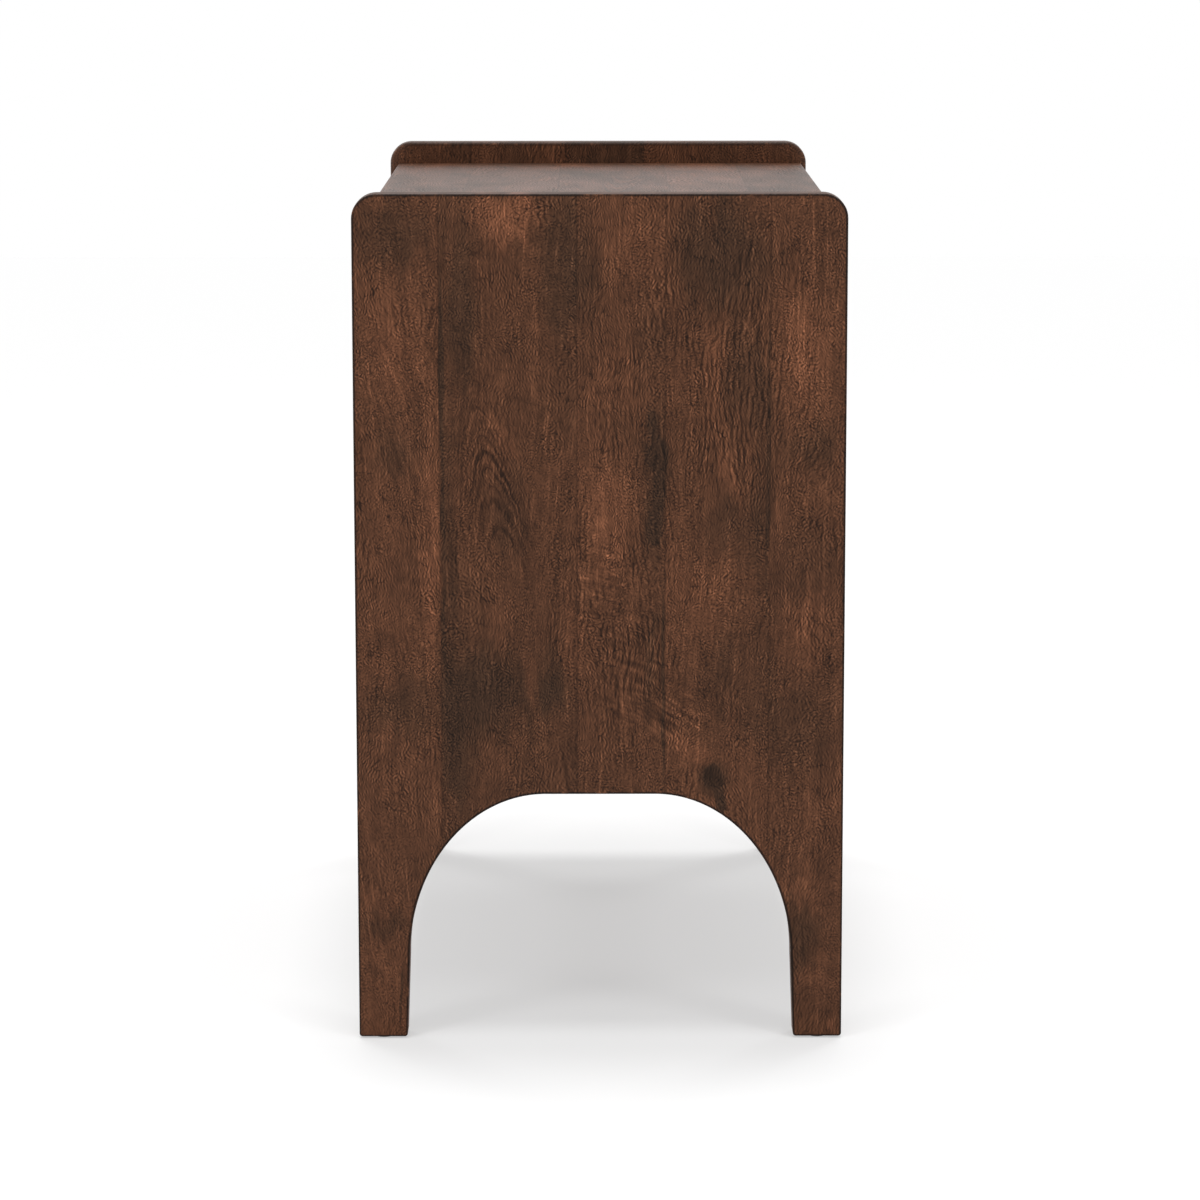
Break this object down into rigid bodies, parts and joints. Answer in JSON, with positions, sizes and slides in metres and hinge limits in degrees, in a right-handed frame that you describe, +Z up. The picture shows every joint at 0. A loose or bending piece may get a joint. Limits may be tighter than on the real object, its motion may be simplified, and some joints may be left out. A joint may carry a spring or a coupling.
{
  "type": "nightstand",
  "caption": "Wooden nightstand with arched side panels, a recessed top and dovetailed drawers on telescopic slides.",
  "frame": {"origin": "on the floor, under the middle of the case", "axes": "+X to the right seen from the front, +Y from the front to the back, +Z up"},
  "size_m": [0.7, 0.4, 0.7],
  "materials": {
    "stained_wood": "dark brown stain under satin lacquer",
    "plain_wood": "clear satin lacquer",
    "back_board": "stained plywood, matt",
    "base_board": "plain plywood, matt",
    "zinc_steel": "zinc plated",
    "ball_steel": "bright",
    "nylon": "matt"
  },
  "bodies": {
    "case": {"right_side_panel": "stained_wood", "left_side_panel": "stained_wood", "top_board": "stained_wood", "bottom_board": "stained_wood", "back_panel": "back_board", "divider_rail": "stained_wood", "right_front_rail_dowel": "plain_wood", "right_back_rail_dowel": "plain_wood", "left_front_rail_dowel": "plain_wood", "left_back_rail_dowel": "plain_wood", "front_right_foot_glide": "nylon", "back_right_foot_glide": "nylon", "front_left_foot_glide": "nylon", "back_left_foot_glide": "nylon", "upper_right_slide_outer": "zinc_steel", "upper_left_slide_outer": "zinc_steel", "lower_right_slide_outer": "zinc_steel", "lower_left_slide_outer": "zinc_steel"},
    "upper_drawer": {"upper_drawer_face": "stained_wood", "upper_drawer_front": "plain_wood", "upper_drawer_back": "plain_wood", "upper_drawer_right_side": "plain_wood", "upper_drawer_left_side": "plain_wood", "upper_drawer_base": "base_board", "upper_right_slide_inner": "zinc_steel", "upper_left_slide_inner": "zinc_steel"},
    "upper_middle_members": {"upper_right_slide_middle": "zinc_steel", "upper_left_slide_middle": "zinc_steel"},
    "upper_outer_cages": {"upper_right_slide_outer_cage": "ball_steel", "upper_left_slide_outer_cage": "ball_steel"},
    "upper_inner_cages": {"upper_right_slide_inner_cage": "ball_steel", "upper_left_slide_inner_cage": "ball_steel"},
    "lower_drawer": {"lower_drawer_face": "stained_wood", "lower_drawer_front": "plain_wood", "lower_drawer_back": "plain_wood", "lower_drawer_right_side": "plain_wood", "lower_drawer_left_side": "plain_wood", "lower_drawer_base": "base_board", "lower_right_slide_inner": "zinc_steel", "lower_left_slide_inner": "zinc_steel"},
    "lower_middle_members": {"lower_right_slide_middle": "zinc_steel", "lower_left_slide_middle": "zinc_steel"},
    "lower_outer_cages": {"lower_right_slide_outer_cage": "ball_steel", "lower_left_slide_outer_cage": "ball_steel"},
    "lower_inner_cages": {"lower_right_slide_inner_cage": "ball_steel", "lower_left_slide_inner_cage": "ball_steel"}
  },
  "joints": [
    {"name": "upper_drawer_slide", "type": "slide", "parent": "case", "child": "upper_drawer", "axis": [0, -1, 0], "range_m": [0, 0.3]},
    {"name": "upper_middle_slide", "type": "slide", "parent": "case", "child": "upper_middle_members", "axis": [0, -1, 0], "range_m": [0, 0.15]},
    {"name": "upper_outer_cage_slide", "type": "slide", "parent": "case", "child": "upper_outer_cages", "axis": [0, -1, 0], "range_m": [0, 0.075]},
    {"name": "upper_inner_cage_slide", "type": "slide", "parent": "case", "child": "upper_inner_cages", "axis": [0, -1, 0], "range_m": [0, 0.225]},
    {"name": "lower_drawer_slide", "type": "slide", "parent": "case", "child": "lower_drawer", "axis": [0, -1, 0], "range_m": [0, 0.3]},
    {"name": "lower_middle_slide", "type": "slide", "parent": "case", "child": "lower_middle_members", "axis": [0, -1, 0], "range_m": [0, 0.15]},
    {"name": "lower_outer_cage_slide", "type": "slide", "parent": "case", "child": "lower_outer_cages", "axis": [0, -1, 0], "range_m": [0, 0.075]},
    {"name": "lower_inner_cage_slide", "type": "slide", "parent": "case", "child": "lower_inner_cages", "axis": [0, -1, 0], "range_m": [0, 0.225]}
  ],
  "couplings": [
    {"joint": "upper_middle_slide", "follows": "upper_drawer_slide", "ratio": 0.5},
    {"joint": "upper_outer_cage_slide", "follows": "upper_drawer_slide", "ratio": 0.25},
    {"joint": "upper_inner_cage_slide", "follows": "upper_drawer_slide", "ratio": 0.75},
    {"joint": "lower_middle_slide", "follows": "lower_drawer_slide", "ratio": 0.5},
    {"joint": "lower_outer_cage_slide", "follows": "lower_drawer_slide", "ratio": 0.25},
    {"joint": "lower_inner_cage_slide", "follows": "lower_drawer_slide", "ratio": 0.75}
  ]
}
